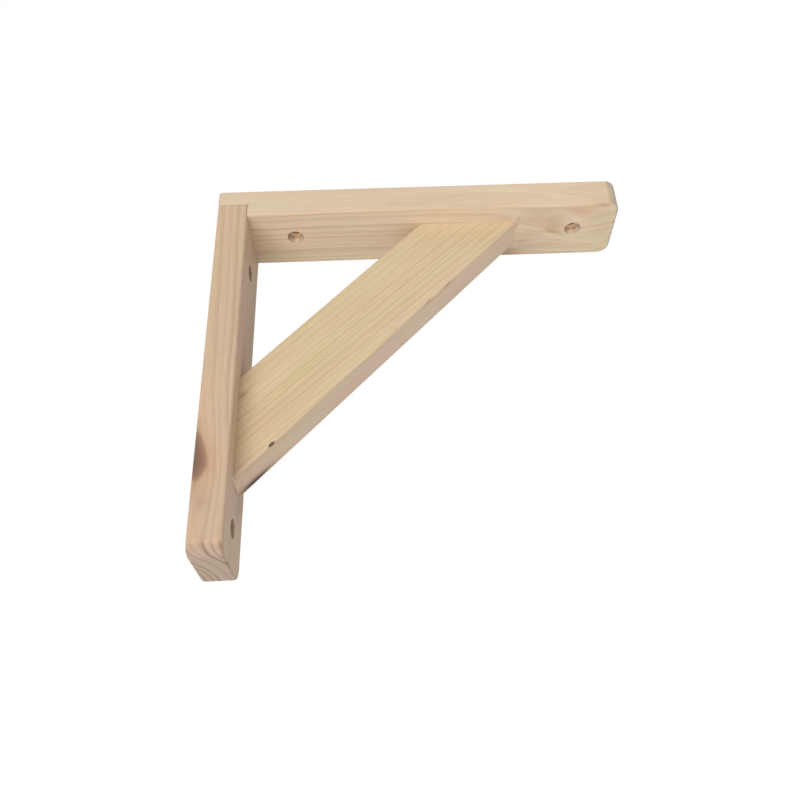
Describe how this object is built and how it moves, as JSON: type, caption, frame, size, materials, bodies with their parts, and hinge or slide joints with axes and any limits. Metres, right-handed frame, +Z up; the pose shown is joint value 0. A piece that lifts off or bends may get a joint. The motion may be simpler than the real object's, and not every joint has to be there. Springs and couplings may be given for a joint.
{
  "type": "wooden shelf bracket",
  "caption": "Wooden shelf bracket: a top arm and a wall arm housed into each other and braced by a diagonal, with counterbored screw holes for shelf and wall.",
  "frame": {"origin": "on the face that lies against the wall, midway between the two wall screw holes", "axes": "+X out from the wall along the top arm, +Y along the wall, +Z up towards the shelf"},
  "size_m": [0.24, 0.044, 0.23],
  "materials": {
    "top_arm_pine": "raw planed pine, unfinished",
    "wall_arm_pine": "raw planed pine, unfinished",
    "brace_pine": "raw planed pine, unfinished",
    "screw_zinc": "yellow zinc plated"
  },
  "bodies": {
    "root": {"top_arm": "top_arm_pine", "wall_arm": "wall_arm_pine", "brace": "brace_pine", "joint_screws": "screw_zinc"}
  },
  "joints": []
}
